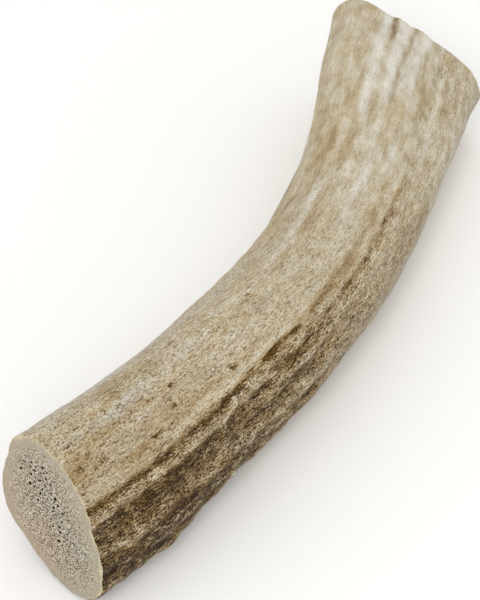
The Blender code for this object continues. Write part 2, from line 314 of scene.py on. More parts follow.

# Stained and bleached lines, and one band of painted reflection: change of tone, change of the colour's
# strength, half width in millimetres, and the route.
TONE_LINES = (
    (-0.24, 0.06, 1.3, ((-0.10, 40), (0.03, 41), (0.10, 43.5), (0.21, 43), (0.32, 47))),
    (-0.15, 0.05, 1.1, ((0.28, 45.5), (0.36, 49), (0.43, 51.5))),
    (-0.14, 0.0, 1.0, ((0.40, 51.5), (0.50, 53.5), (0.60, 55), (0.66, 56.5))),
    (-0.11, 0.02, 2.2, ((-0.10, 30), (0.10, 33), (0.20, 35), (0.27, 37))),
    (0.0, 0.04, 2.8, ((-0.10, 36), (0.10, 39), (0.22, 41), (0.34, 44), (0.44, 47))),
    (-0.06, 0.08, 2.2, ((0.26, 42), (0.34, 44.5), (0.46, 48.5), (0.58, 50))),
    (-0.11, 0.0, 2.2, ((0.24, 29), (0.30, 31), (0.36, 33), (0.41, 35.5), (0.46, 38))),
    (-0.18, 0.1, 1.0, ((0.42, 37), (0.50, 39), (0.58, 40.5), (0.66, 41.5), (0.74, 44))),
    (0.08, 0.06, 1.8, ((0.28, 21), (0.34, 24), (0.42, 26), (0.48, 28))),
    (-0.12, 0.0, 1.9, ((0.25, 10), (0.32, 11.5), (0.38, 14), (0.44, 16))),
    (0.05, 0.0, 2.2, ((-0.10, -3), (0.06, -2), (0.13, 1), (0.22, 3), (0.34, 4), (0.46, 4))),
    (-0.12, 0.0, 1.7, ((-0.10, -12), (0.06, -11), (0.12, -8), (0.22, -8), (0.32, -10), (0.44, -11))),
    (0.13, -0.15, 0.5, ((-0.10, -13.5), (0.08, -13), (0.16, -11), (0.26, -11.5), (0.36, -12.5))),
    (0.13, -0.15, 0.5, ((-0.10, -18.5), (0.08, -18), (0.20, -16.5), (0.36, -17.5))),
    (-0.12, 0.0, 2.4, ((-0.10, -20), (0.15, -19), (0.32, -19))),
    (-0.10, 0.0, 1.3, ((-0.10, -27), (0.15, -26), (0.32, -25), (0.52, -29))),
    (-0.08, 0.0, 1.5, ((-0.10, -46), (0.22, -44), (0.45, -50), (0.72, -47))),
    (-0.07, 0.05, 0.8, ((-0.10, 61), (0.14, 60), (0.22, 59.5), (0.30, 60), (0.40, 63))),
    (-0.05, 0.0, 1.2, ((-0.10, 70), (0.08, 70), (0.20, 69))),
    (-0.04, 0.0, 1.0, ((0.24, 91), (0.34, 93.5), (0.46, 98), (0.56, 101), (0.64, 101.5))),
    (-0.04, 0.0, 1.6, ((0.20, 124), (0.45, 129), (0.62, 136), (0.84, 138))),
    (-0.14, 0.0, 0.6, ((0.78, 84), (0.89, 83.5), (0.93, 81.8), (0.96, 80.5), (1.00, 79), (1.10, 76))),
    (-0.07, 0.0, 0.9, ((0.74, 93), (0.84, 96.5), (0.94, 98), (1.10, 104))),
    (-0.16, 0.0, 0.7, ((0.92, 98), (0.96, 99), (0.98, 101), (1.10, 106))),
    (0.12, -0.20, 2.2, ((0.80, 89), (0.86, 90), (0.92, 89), (0.97, 88), (1.10, 88))),
    (0.11, -0.20, 1.5, ((0.76, 101.5), (0.82, 103.5), (0.88, 104.5), (0.94, 106), (1.10, 111))),
    (0.11, -0.20, 2.4, ((0.83, 76.5), (0.90, 74), (0.95, 70), (1.00, 64), (1.10, 58))),
    (0.05, -0.15, 1.0, ((0.54, 75), (0.62, 78), (0.70, 80.5), (0.78, 86))),
    (0.07, -0.20, 1.0, ((0.40, 105), (0.50, 107.5), (0.58, 108.5), (0.68, 109))),
    (0.04, -0.10, 1.4, ((0.58, 90), (0.64, 91), (0.72, 94), (0.80, 95))),
    (0.05, 0.0, 1.2, ((0.78, 34), (0.86, 33), (0.94, 35))),
    (0.05, 0.0, 1.6, ((0.14, 52), (0.24, 53), (0.36, 57), (0.50, 60))),
    # Painted reflection: the colour is drawn greyer just below the bend's outside on the flared half, for
    # the pale floor's light on it.
    (0.0, -0.25, 2.6, ((0.44, -11), (0.70, -10), (1.10, -9))),
    (-0.08, 0.0, 1.7, ((-0.10, 150), (0.25, 153), (0.48, 149), (0.70, 156))),
    (-0.09, 0.0, 1.8, ((0.06, 176), (0.38, 172), (0.64, 178), (1.10, 171))),
    (-0.10, 0.0, 1.6, ((-0.10, 203), (0.30, 198), (0.58, 205), (0.90, 201))),
    (-0.08, 0.0, 1.9, ((0.20, 226), (0.52, 231), (0.78, 228), (1.10, 234))),
    (-0.08, 0.0, 1.6, ((0.16, 262), (0.42, 257), (0.70, 262), (0.98, 258))),
)

# Stained and bleached patches, and one band of painted light: share of the length, angle, change of tone,
# change of the colour's strength, half length as a share of the length, and half width in degrees.
TONE_PATCHES = (
    (0.00, 175, 0.0, 0.30, 0.010, 60.0),
    (0.00, 255, 0.0, 0.38, 0.010, 50.0),
    (0.12, 87, -0.03, 0.0, 0.150, 6.0),
    (0.60, 120, -0.02, 0.0, 0.100, 10.0),
    (0.62, 0, -0.03, 0.0, 0.120, 8.0),
    (0.10, 91.5, 0.06, -0.30, 0.032, 3.6),
    (0.03, 92, 0.0, -0.20, 0.035, 3.0),
    (0.145, 94, 0.05, -0.20, 0.025, 3.0),
    (0.20, 90, 0.04, -0.10, 0.030, 3.5),
    (0.255, 94, 0.02, -0.35, 0.025, 3.0),
    (0.15, 78, 0.03, -0.15, 0.030, 2.0),
    (0.02, 72, -0.07, 0.10, 0.040, 7.0),
    (0.16, 105, -0.03, 0.0, 0.040, 5.0),
    # Painted light: a lighter, greyer band along the upper left edge of the thick half, for the light that
    # this edge catches.
    (0.12, 124, 0.06, -0.30, 0.300, 6.0),
    (0.08, 82, -0.03, 0.05, 0.100, 3.0),
    (0.10, 57, -0.04, 0.03, 0.040, 3.5),
    (0.18, 57, -0.06, 0.04, 0.020, 2.5),
    (0.10, 6, 0.0, 0.08, 0.160, 24.0),
    (0.285, 57.5, -0.08, 0.0, 0.016, 2.5),
    (0.11, 22, 0.10, 0.0, 0.022, 2.2),
    (0.08, 37, 0.045, 0.0, 0.140, 2.6),
    (0.575, 50, -0.03, 0.08, 0.030, 3.0),
    (0.04, -14, -0.10, 0.0, 0.032, 3.5),
    (0.14, -8, -0.12, 0.0, 0.022, 3.0),
    (0.18, -4.5, -0.11, 0.0, 0.024, 3.5),
    (0.235, -14, -0.12, 0.0, 0.030, 1.6),
    (0.015, -19.5, -0.10, 0.0, 0.020, 3.0),
    (0.035, -4, 0.08, 0.0, 0.035, 3.5),
    (0.265, -6, 0.08, 0.0, 0.015, 4.0),
    (0.19, -12.5, 0.08, -0.15, 0.030, 1.5),
    (0.09, -19, 0.07, -0.15, 0.020, 2.0),
    (0.52, 31.5, -0.04, 0.06, 0.050, 3.0),
    (0.17, 24, 0.05, 0.0, 0.012, 2.5),
    (0.262, 26, 0.06, 0.1, 0.010, 3.0),
    (0.23, 14, 0.04, 0.0, 0.050, 8.0),
    (0.03, 1, 0.05, 0.0, 0.045, 6.0),
    (0.02, 19, -0.03, -0.10, 0.030, 5.0),
    (0.11, 15, -0.03, -0.10, 0.020, 8.0),
    (0.242, 24, -0.06, -0.10, 0.014, 6.0),
    (0.39, 20, 0.0, -0.20, 0.030, 4.0),
    (0.34, 38, -0.11, 0.0, 0.050, 3.0),
    (0.42, 43, -0.05, 0.0, 0.050, 4.0),
    (0.43, 22, -0.08, 0.0, 0.020, 3.5),
    (0.49, 30, 0.05, 0.0, 0.060, 3.5),
    (0.57, 33, 0.05, 0.0, 0.060, 5.0),
    (0.34, 45, 0.02, 0.0, 0.030, 2.5),
    (0.45, 46, 0.05, 0.0, 0.020, 2.5),
    (0.48, 62, -0.05, 0.0, 0.030, 3.0),
    (0.50, 92, -0.03, 0.0, 0.040, 5.0),
    (0.56, 87, -0.06, 0.0, 0.020, 3.0),
    (0.53, 125, -0.04, 0.0, 0.030, 5.0),
    (0.60, 137, -0.05, 0.0, 0.030, 2.5),
    (0.64, 118, -0.06, 0.0, 0.070, 7.0),
    (0.71, 125, -0.07, 0.15, 0.040, 9.0),
    (0.74, 103, -0.06, 0.0, 0.035, 4.0),
    (0.67, 93, 0.02, 0.0, 0.030, 3.0),
    (0.62, 5, -0.03, 0.0, 0.080, 8.0),
    (0.70, 0, -0.06, 0.0, 0.020, 4.0),
    (0.66, 12, -0.04, 0.0, 0.040, 4.0),
    (0.80, 31, 0.08, 0.0, 0.260, 8.0),
    (0.88, 8, 0.05, 0.0, 0.200, 14.0),
    (0.745, 46, -0.09, 0.0, 0.025, 6.0),
    (0.74, 65, 0.05, -0.20, 0.020, 3.0),
    (0.78, 60, -0.04, 0.0, 0.020, 2.5),
    (0.87, 50, -0.06, 0.0, 0.045, 6.0),
    (0.89, 63, -0.09, 0.0, 0.025, 2.5),
    (0.94, 57.5, -0.08, 0.0, 0.030, 3.0),
    (0.84, 23, -0.05, 0.0, 0.030, 3.0),
    (0.54, 108, -0.04, 0.0, 0.100, 9.0),
    (0.58, 85, -0.03, 0.0, 0.050, 5.0),
    (0.66, 56, -0.05, 0.0, 0.060, 4.0),
    (0.86, 110, -0.05, 0.0, 0.060, 3.5),
    (0.92, 25, -0.05, 0.0, 0.040, 4.0),
    (0.97, 31, -0.06, 0.10, 0.020, 3.5),
    (0.93, 117, -0.03, 0.0, 0.050, 4.0),
    (0.79, 134, -0.04, 0.0, 0.020, 4.0),
)

# Dark stain that lies in ragged blotches: amount, half width in millimetres, and the route.
STAIN_LINES = (
    (0.52, 1.0, ((-0.10, 40), (0.03, 41), (0.14, 44), (0.21, 43), (0.30, 46), (0.36, 49), (0.45, 52))),
    (0.17, 0.9, ((0.40, 51.5), (0.50, 53), (0.62, 56))),
    (0.26, 0.6, ((0.10, 41), (0.24, 41), (0.33, 43.5), (0.46, 47.5))),
    (0.40, 1.0, ((-0.10, 22), (0.06, 24), (0.12, 26.5), (0.20, 28), (0.30, 29.5), (0.38, 32), (0.45, 36))),
    (0.20, 1.0, ((0.42, 37), (0.50, 38.5), (0.58, 40), (0.68, 41.5))),
    (0.26, 1.4, ((0.26, 30), (0.36, 33.5), (0.48, 38))),
    (0.30, 1.3, ((0.24, 10), (0.32, 12.5), (0.38, 15.5), (0.48, 18.5))),
    (0.32, 0.5, ((0.34, 18.5), (0.42, 20.3), (0.52, 20.8), (0.62, 22))),
    (0.20, 0.8, ((0.04, 12), (0.14, 9.5), (0.24, 10))),
    (0.45, 1.1, ((-0.10, -12), (0.06, -11), (0.12, -7.5), (0.19, -8), (0.28, -9), (0.42, -11))),
    (0.64, 0.5, ((-0.10, -16), (0.08, -15.5), (0.16, -14), (0.26, -14), (0.36, -15))),
    (0.64, 0.6, ((-0.10, -21), (0.10, -20.5), (0.22, -19), (0.36, -20))),
    (0.40, 1.2, ((-0.10, -27), (0.15, -26), (0.32, -25), (0.52, -29))),
    (0.35, 1.3, ((-0.10, -46), (0.22, -44), (0.45, -50), (0.72, -47))),
    (0.20, 0.5, ((-0.10, 61), (0.12, 60.5), (0.25, 59.5))),
    (0.18, 0.5, ((0.24, 59), (0.34, 61), (0.46, 65))),
    (0.20, 0.6, ((-0.10, 69), (0.12, 68))),
    (0.28, 1.2, ((-0.10, 150), (0.25, 153), (0.48, 149))),
    (0.30, 1.2, ((0.00, 176), (0.38, 172), (0.64, 178), (0.84, 175))),
    (0.34, 1.2, ((-0.10, 203), (0.30, 198), (0.58, 205), (0.80, 202))),
    (0.30, 1.3, ((0.10, 226), (0.42, 230), (0.70, 228))),
    (0.32, 1.3, ((0.00, 262), (0.36, 258), (0.62, 261))),
)

# Blotches of the same stain: share of the length, angle, amount, half length and half width as above.
# Programs multiplied most of the amounts.
STAIN_PATCHES = (
    (0.085, 43.5, 0.55, 0.020, 2.0),
    (0.133, 44.0, 0.70, 0.013, 2.6),
    (0.175, 43.0, -0.25, 0.020, 3.0),
    (0.220, 43.5, 0.55, 0.016, 1.8),
    (0.275, 45.0, 0.25, 0.015, 1.5),
    (0.320, 47.0, -0.35, 0.015, 2.5),
    (0.355, 49.0, 0.45, 0.018, 1.8),
    (0.395, 51.0, 0.62, 0.012, 1.8),
    (0.460, 52.0, 0.14, 0.020, 2.0),
    (0.015, 22.0, 0.50, 0.012, 2.5),
    (0.052, 24.0, 0.50, 0.012, 2.0),
    (0.100, 26.5, 0.38, 0.015, 1.2),
    (0.105, 22.0, -0.40, 0.020, 2.5),
    (0.137, 24.0, 0.62, 0.008, 4.0),
    (0.200, 27.0, 0.44, 0.012, 3.0),
    (0.235, 23.0, 0.56, 0.015, 4.5),
    (0.265, 25.0, -0.20, 0.012, 2.5),
    (0.295, 29.0, 0.75, 0.008, 2.0),
    (0.400, 33.0, 0.62, 0.014, 2.8),
    (0.435, 34.0, 0.38, 0.010, 2.0),
    (0.475, 37.5, 0.14, 0.014, 1.6),
    (0.525, 39.0, 0.16, 0.020, 1.8),
    (0.632, 41.5, 0.36, 0.012, 3.0),
    (0.350, 14.0, 0.25, 0.030, 3.0),
    (0.390, 16.5, 0.50, 0.018, 1.6),
    (0.070, 17.0, 0.22, 0.080, 5.0),
    (0.135, 15.0, 0.38, 0.012, 5.0),
    (0.115, 5.0, 0.38, 0.010, 4.0),
    (0.270, 0.0, 0.38, 0.008, 3.0),
    (0.140, -7.5, 0.62, 0.014, 1.8),
    (0.178, -8.0, 0.62, 0.012, 2.2),
    (0.030, -12.0, 0.38, 0.030, 2.5),
    (0.045, 68.5, 0.39, 0.012, 2.5),
    (0.060, 67.5, 0.46, 0.008, 1.8),
    (0.045, 60.5, 0.33, 0.012, 1.5),
    (0.100, 70.5, 0.53, 0.007, 1.5),
    (0.132, 74.0, 0.33, 0.006, 2.0),
    (0.140, 60.5, 0.53, 0.012, 1.5),
    (0.178, 68.5, 0.90, 0.010, 1.4),
    (0.196, 81.0, 0.81, 0.006, 1.8),
    (0.206, 80.5, 0.66, 0.004, 1.2),
    (0.122, 81.0, 0.46, 0.006, 1.0),
    (0.070, 80.5, 0.37, 0.008, 1.0),
    (0.020, 91.0, 0.59, 0.008, 1.6),
    (0.030, 91.5, 0.46, 0.008, 2.0),
    (0.060, 91.0, 0.33, 0.012, 1.5),
    (0.090, 98.5, 0.59, 0.005, 1.0),
    (0.100, 94.5, 0.59, 0.008, 1.4),
    (0.134, 95.0, 0.46, 0.004, 1.4),
    (0.170, 92.5, 0.66, 0.007, 1.4),
    (0.240, 95.5, 0.39, 0.006, 1.4),
    (0.257, 94.5, 0.55, 0.010, 3.2),
    (0.310, 99.5, 0.79, 0.003, 1.0),
    (0.312, 83.0, 0.53, 0.003, 0.9),
    (0.390, 99.4, 0.66, 0.008, 0.7),
    (0.175, 106.0, 0.39, 0.006, 1.2),
    (0.152, 110.0, 0.39, 0.010, 1.8),
    (0.246, 75.3, 0.46, 0.010, 1.0),
    (0.270, 65.8, 0.39, 0.006, 1.2),
    (0.288, 58.0, 0.59, 0.012, 2.0),
    (0.455, 129.5, 0.39, 0.012, 1.5),
    (0.506, 108.5, 0.46, 0.003, 1.0),
    (0.512, 77.0, 0.46, 0.003, 1.0),
    (0.590, 66.0, 0.33, 0.006, 1.2),
    (0.587, 79.0, 0.33, 0.005, 1.2),
    (0.470, 66.0, 0.33, 0.020, 1.6),
    (0.565, 88.0, 0.26, 0.008, 2.0),
)

# How much stain lies everywhere on the rough side, in scattered flecks.
STAIN_EVERYWHERE = 0.15

# How far the stain and the tone wander from their routes, in degrees, by noise of each cell's width
# and length in millimetres, and how much of that is left along the length.
WANDER = ((2.4, (2.4, 9.0)), (1.8, (1.0, 2.8)))
WANDER_LEFT = ((0.0, 1.0), (0.65, 1.0), (0.85, 0.45), (1.0, 0.4))

# How deep the stained blotches are bitten into the bark, how light they are, how unevenly the stain
# lies along its lines with the width and length of that in millimetres, and how far its noise is moved
# to keep it from following another.
STAIN_DEPTH = 0.2
STAIN_TONE = 0.17
STAIN_PATCHY = 1.1
STAIN_PATCH_CELL = (1.6, 4.0)
STAIN_OFFSET = 40.0

# Short cracks across the beam: share of the length, the two angles between which one runs, and depth.
CRACKS = ((0.123, 40, 54, 0.30), (0.632, 34, 48, 0.20))

# A crack's half width, how far it strays as a share of the length, in how many waves round the beam,
# and over how many degrees it dies out at each end.
CRACK_HALF_WIDTH = 0.35
CRACK_STRAY = 0.006
CRACK_WAVES = 31
CRACK_FADE = 3.0

# Where the bark is rough: the angles of the upper and the lower edge, each with the degrees that it
# takes to fade, the share of the length where it ends with the share that this takes, and how rough
# all other bark is.
GRITTY_UPPER = (48.0, 30.0)
GRITTY_LOWER = (-140.0, 20.0)
GRITTY_END = (0.75, 0.5)
LEAST_ROUGH = 0.22

# Width and length of the fine streaks, of the soft unevenness and of the small granules, how steep a
# granule is, and how much of the streaks is left where the bark isn't rough.
STREAK_CELL = (1.1, 7.0)
UNEVEN_CELL = (3.2, 8.0)
GRANULE_CELL = (1.6, 2.8)
GRANULE_STEEPNESS = 2.2
SMOOTH_STREAKS = 0.4

# Bone's index of refraction, and how much of its gloss the rough, dusty surface keeps, where 0.5 is all.
BONE_IOR = 1.54
DUSTY_GLOSS = 0.12

# How far a pinhole's colour is mixed into the bark's where the grain's strength is 1.
SPECK_STRENGTH = 0.46

# The point that the camera looks at, in millimetres. A program worked it out and wrote it here.
CAMERA_TARGET = (-6.666, 1.956, 18.350)


def linear(code):
    """The linear colour, with alpha, of an sRGB hex code."""
    levels = [int(code[i : i + 2], 16) / 255 for i in (1, 3, 5)]
    return tuple(v / 12.92 if v <= 0.04045 else ((v + 0.055) / 1.055) ** 2.4 for v in levels) + (1.0,)


def colour_property(name, code, description):
    return FloatVectorProperty(
        name=name, description=description, default=linear(code), size=4, subtype="COLOR", min=0, max=1
    )


def length_property(name, size, description):
    return FloatProperty(name=name, description=description, default=size * MM, unit="LENGTH", min=0)


def angle_property(name, degrees, description):
    angle = math.radians(degrees)
    return FloatProperty(name=name, description=description, default=angle, unit="ROTATION")


class AntlerSettings(bpy.types.PropertyGroup):
    """Sizes and colours of the antler beam."""

    sides: IntProperty(name="Sides", description="Faces round the beam", default=280, min=24)
    rings: IntProperty(name="Rings", description="Rings of faces along the bark", default=250, min=24)
    streak_height: length_property("Streaks", 0.16, "Height of the fine lengthwise streaks")
    granule_height: length_property("Granules", 0.16, "Height of the small round grains in the rough bark")
    unevenness: length_property("Unevenness", 0.14, "Height of the bark's soft unevenness")
    pore_depth: length_property("Pore depth", 1.2, "Depth of the widest pores in the sawn faces")
    grain_width: length_property("Grain width", 0.31, "Width of the bark's finest grain")
    black_stain: colour_property("Black stain", "#241407", "The darkest stain, deep in the gutters")
    dark_stain: colour_property("Dark stain", "#54411f", "Stain on the rough side")
    brown: colour_property("Brown", "#786343", "Half stained bark")
    tan: colour_property("Tan", "#968264", "Bark in the gutters of the smooth side")
    beige: colour_property("Beige", "#ac9c7e", "Clean bark")
    bleached: colour_property("Bleached", "#beb39b", "Bark that is worn or bleached")
    white: colour_property("White", "#d4cebf", "The whitest streaks")
    sawdust: colour_property("Sawdust", "#c4bcaa", "The lightest grains of the sawn faces")
    compact: colour_property("Compact bone", "#a09683", "The sawn faces")
    shaded: colour_property("Shaded bone", "#766c5a", "The darkest grains of the sawn faces")
    # The pore colour is painted shade: the near black put in the pits for the shadow that falls in them.
    pore: colour_property("Pore", "#1d1611", "The bottom of a pore")
    speck: colour_property("Speck", "#382f24", "Dark pinholes in the bark")
    rim: colour_property("Rim", "#c0b596", "The worn rim between a sawn face and the bark")


class StageSettings(bpy.types.PropertyGroup):
    """The camera, the light and the floor."""

    azimuth: angle_property("Azimuth", -59.85, "The side that the camera stands on, where 0 is -Y")
    elevation: angle_property("Elevation", 48.1, "How steeply the camera looks down")
    distance: length_property("Distance", 610.0, "From the camera to the point that it looks at")
    lens: FloatProperty(name="Lens", description="Focal length in millimetres", default=159.8, min=1)
    floor_colour: colour_property("Floor", "#f4f3f1", "The plain pale floor")
    floor_radius: length_property("Floor radius", 4000.0, "Radius of the floor")
    surround: FloatProperty(name="Surround", description="Light from all round", default=0.95, min=0)
    key_power: FloatProperty(
        name="Key power", description="Power of the large lamp in watts", default=4.1, min=0
    )
    key_size: length_property("Key size", 450.0, "Width of the large lamp")
    key_distance: length_property("Key distance", 1200.0, "From the large lamp to the antler")
    key_azimuth: angle_property("Key azimuth", -72.0, "The side that the large lamp stands on")
    key_elevation: angle_property("Key elevation", 50.0, "How high the large lamp stands")


def along(rows, share):
    """Values at shares of the length, on a smooth curve through rows whose first column is the share."""
    rows = np.asarray(rows, float)
    at = rows[:, 0]
    values = rows[:, 1:]
    slopes = np.gradient(values, at, axis=0)
    i = np.clip(np.searchsorted(at, share, side="right") - 1, 0, len(at) - 2)
    step = (at[i + 1] - at[i])[:, None]
    u = (share[:, None] - at[i][:, None]) / step
    return (
        (2 * u**3 - 3 * u**2 + 1) * values[i]
        + (u**3 - 2 * u**2 + u) * step * slopes[i]
        + (3 * u**2 - 2 * u**3) * values[i + 1]
        + (u**3 - u**2) * step * slopes[i + 1]
    )


def station_rows():
    """The stations, each with its share of the length in front."""
    stations = np.array(STATIONS)
    gaps = np.linalg.norm(np.diff(stations[:, :3], axis=0), axis=1)
    reached = np.concatenate([[0.0], np.cumsum(gaps)])
    return np.column_stack([reached / reached[-1], stations])


def beam_length():
    return np.linalg.norm(np.diff(np.array(STATIONS)[:, :3], axis=0), axis=1).sum()


def smooth_step(u):
    u = np.clip(u, 0.0, 1.0)
    return u * u * (3 - 2 * u)


def turn_between(angles, at):
    """Degrees from an angle, the short way round."""
    return (angles - at + 180.0) % 360.0 - 180.0


def section_axes(share):
    """The sections' outward and upward directions, which lie in the saw's plane at the two ends."""
    rows = station_rows()
    nudge = 1e-4
    ahead = along(rows, np.clip(share + nudge, 0, 1))[:, :3]
    behind = along(rows, np.clip(share - nudge, 0, 1))[:, :3]
    run = ahead - behind
    run /= np.linalg.norm(run, axis=1)[:, None]
    turn = np.arctan2(run[:, 1], run[:, 0])
    pitch = np.arcsin(run[:, 2])
    for end, cut_turn, cut_pitch in SAW_CUTS:
        weight = smooth_step(1 - np.abs(share - end) / SAW_REACH)
        turn += weight * math.radians(cut_turn)
        pitch += weight * math.radians(cut_pitch)
    run = np.column_stack([np.cos(turn) * np.cos(pitch), np.sin(turn) * np.cos(pitch), np.sin(pitch)])
    outward = np.cross(run, (0.0, 0.0, 1.0))
    outward /= np.linalg.norm(outward, axis=1)[:, None]
    return outward, np.cross(outward, run)


def line_field(lines, share, angle):
    """The sum of soft lines, each with its size, half width in millimetres and route."""
    field = np.zeros(len(share))
    for size, half_width, route in lines:
        at, angles = np.array(route, float).T
        aside = turn_between(angle, np.interp(share, at, angles)) * math.radians(MIDDLE_RADIUS) / half_width
        start = smooth_step((share - at[0]) / FADE)
        end = smooth_step((at[-1] - share) / FADE)
        field += size * start * end * np.exp(-(aside**2))
    return field


def patch_field(patches, share, angle):
    """The sum of soft patches: share, angle, size, half length as a share and half width in degrees."""
    field = np.zeros(len(share))
    for at, at_angle, size, half_length, half_width in patches:
        lengthwise = (share - at) / half_length
        sideways = turn_between(angle, at_angle) / half_width
        field += size * np.exp(-(lengthwise**2) - sideways**2)
    return field


def pearl_places():
    """Share of the length, angle, height, half length and half width of each pearl, on a loose grid."""
    rng = np.random.default_rng(PEARL_SEED)
    pearls = []
    for row in range(PEARL_ROWS):
        for column in range(PEARL_LENGTHS):
            stray = rng.uniform(-PEARL_STRAY, PEARL_STRAY)
            share = PEARLS_END * (column + 0.5 * (row % 2) + stray) / PEARL_LENGTHS
            across = (row + rng.uniform(-PEARL_STRAY, PEARL_STRAY)) / (PEARL_ROWS - 1)
            size = rng.uniform(*PEARL_SIZES)
            fewer = smooth_step((1 - share / PEARLS_END) * PEARL_FADES[0])
            rough = smooth_step(PEARL_FADES[1] * across) * smooth_step(PEARL_FADES[2] * (1 - across))
            pearls.append(
                (
                    share,
                    PEARLS_FROM + (PEARLS_TO - PEARLS_FROM) * across,
                    PEARL_HEIGHT * size * fewer * rough,
                    PEARL_HALF_LENGTH * size,
                    PEARL_HALF_WIDTH * size,
                )
            )
    return pearls


def pearling(share, angle):
    height = np.zeros(len(share))
    for at, at_angle, tall, half_length, half_width in pearl_places():
        lengthwise = (share - at) * beam_length() / half_length
        near = np.abs(lengthwise) < PEARL_REACH
        sideways = turn_between(angle[near], at_angle) * math.radians(MIDDLE_RADIUS) / half_width
        height[near] += tall * np.exp(-(lengthwise[near] ** 2) - sideways**2)
    return height


def solid_relief(share, angle):
    """The solid's own relief, in millimetres: how far the bark stands out of the smooth section."""
    height = line_field(RIDGES, share, angle) - line_field(GUTTERS, share, angle)
    height += pearling(share, angle) + patch_field(SWELLINGS, share, angle)
    for tall, waves_along, waves_round, phase in WAVES:
        turned = 2 * math.pi * waves_along * share + math.radians(phase)
        height += tall * np.sin(turned) * np.cos(waves_round * np.radians(angle) + turned / 2)
    return height


def straightened(share, angle):
    """Where points would be, in millimetres, if the beam were a straight round bar along Z."""
    turned = np.radians(angle)
    return np.column_stack(
        [MIDDLE_RADIUS * np.cos(turned), MIDDLE_RADIUS * np.sin(turned), share * beam_length()]
    )


def noise_at(points, cell, octaves):
    """Smooth noise between about -1 and 1 whose cells have that width and length in millimetres."""
    width, length = cell
    scaled = points / (width, width, length)
    return np.array([noise.fractal(Vector(p), 1.0, 2.0, octaves) for p in scaled])


def granules_at(points, cell):
    """Round bumps between 0 and 1 that touch each other, one to a cell."""
    width, length = cell
    scaled = points / (width, width, length)
    gap = np.array([noise.voronoi(Vector(p))[0][0] for p in scaled])
    return np.clip(1 - gap**2 * GRANULE_STEEPNESS, 0, 1)


def roughness_of(share, angle):
    """How rough the bark is, from 0 to 1: most on the stained outside of the bend near the thick end."""
    side = turn_between(angle, 0)
    upper = smooth_step((GRITTY_UPPER[0] - side) / GRITTY_UPPER[1])
    lower = smooth_step((side - GRITTY_LOWER[0]) / GRITTY_LOWER[1])
    near = smooth_step((GRITTY_END[0] - share) / GRITTY_END[1])
    return LEAST_ROUGH + (1 - LEAST_ROUGH) * upper * lower * near


def crack_field(share, angle):
    depth = np.zeros(len(share))
    for at, low, high, deep in CRACKS:
        wander = CRACK_STRAY * np.sin(np.radians(angle * CRACK_WAVES))
        lengthwise = (share - at - wander) * beam_length() / CRACK_HALF_WIDTH
        inside = smooth_step((angle - low) / CRACK_FADE) * smooth_step((high - angle) / CRACK_FADE)
        depth += deep * inside * np.exp(-(lengthwise**2))
    return depth


def wandering(share, angle):
    """The angle round the beam, shifted unevenly so that lines and patches get ragged edges."""
    points = straightened(share, angle)
    strayed = sum(reach * noise_at(points, cell, 2) for reach, cell in WANDER)
    return angle + strayed * np.interp(share, *np.transpose(WANDER_LEFT))


def stain_field(share, angle):
    """How thickly the dark stain lies, before it breaks into blotches: 0 is none and 1 is all over."""
    points = straightened(share, angle)
    wandered = wandering(share, angle)
    patchy = 1 + STAIN_PATCHY * noise_at(points + STAIN_OFFSET, STAIN_PATCH_CELL, 2)
    return line_field(STAIN_LINES, share, wandered) * patchy + patch_field(STAIN_PATCHES, share, wandered)


def fine_relief(share, angle, settings):
    """The relief that is too fine for the solid, in millimetres."""
    points = straightened(share, angle)
    rough = roughness_of(share, angle)
    streaks = noise_at(points, STREAK_CELL, 3)
    uneven = noise_at(points, UNEVEN_CELL, 2)
    granules = granules_at(points, GRANULE_CELL)
    height = settings.streak_height / MM * streaks * (SMOOTH_STREAKS + (1 - SMOOTH_STREAKS) * rough)
    height += settings.unevenness / MM * uneven
    height += settings.granule_height / MM * (granules - 0.5) * rough
    return height


def section_radius(share, angle):
    """The smooth section's radius at shares of the length and angles round it."""
    values = along(station_rows(), share)
    half_width, half_thickness, roll, swell, square = values[:, 3:].T
    turned = np.radians(angle + roll)
    oval = np.abs(np.cos(turned) / half_width) ** square
    oval = oval + np.abs(np.sin(turned) / half_thickness) ** square
    return oval ** (-1 / square) + swell * np.cos(3 * np.radians(angle - SWELL_SIDE))


def placed(share, across, up):
    """Points in millimetres that lie across and up from the centre line."""
    outward, upward = section_axes(share)
    centre = along(station_rows(), share)[:, :3]
    return centre + across[:, None] * outward + up[:, None] * upward


def around(share, angle, radius):
    turned = np.radians(angle)
    return placed(share, radius * np.cos(turned), radius * np.sin(turned))


def solid_shift():
    """What brings points on the stations to the frame, in millimetres: the box of the solid's own grid
    of points is set on the box of the frame's node."""
    ease = RIM_EASE / beam_length()
    shares = np.concatenate([[0], np.linspace(ease, 1 - ease, SOLID_RINGS - 1), [1]])
    insets = np.zeros(SOLID_RINGS + 1)
    insets[[0, -1]] = RIM_EASE
    share = np.repeat(shares, SOLID_SIDES)
    angle = np.tile(np.arange(SOLID_SIDES) * 360.0 / SOLID_SIDES, SOLID_RINGS + 1)
    radius = section_radius(share, angle) + solid_relief(share, angle) - np.repeat(insets, SOLID_SIDES)
    points = around(share, angle, radius)
    low, high = (np.array(corner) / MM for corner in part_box(NODE))
    return (low + high) / 2 - (points.min(axis=0) + points.max(axis=0)) / 2


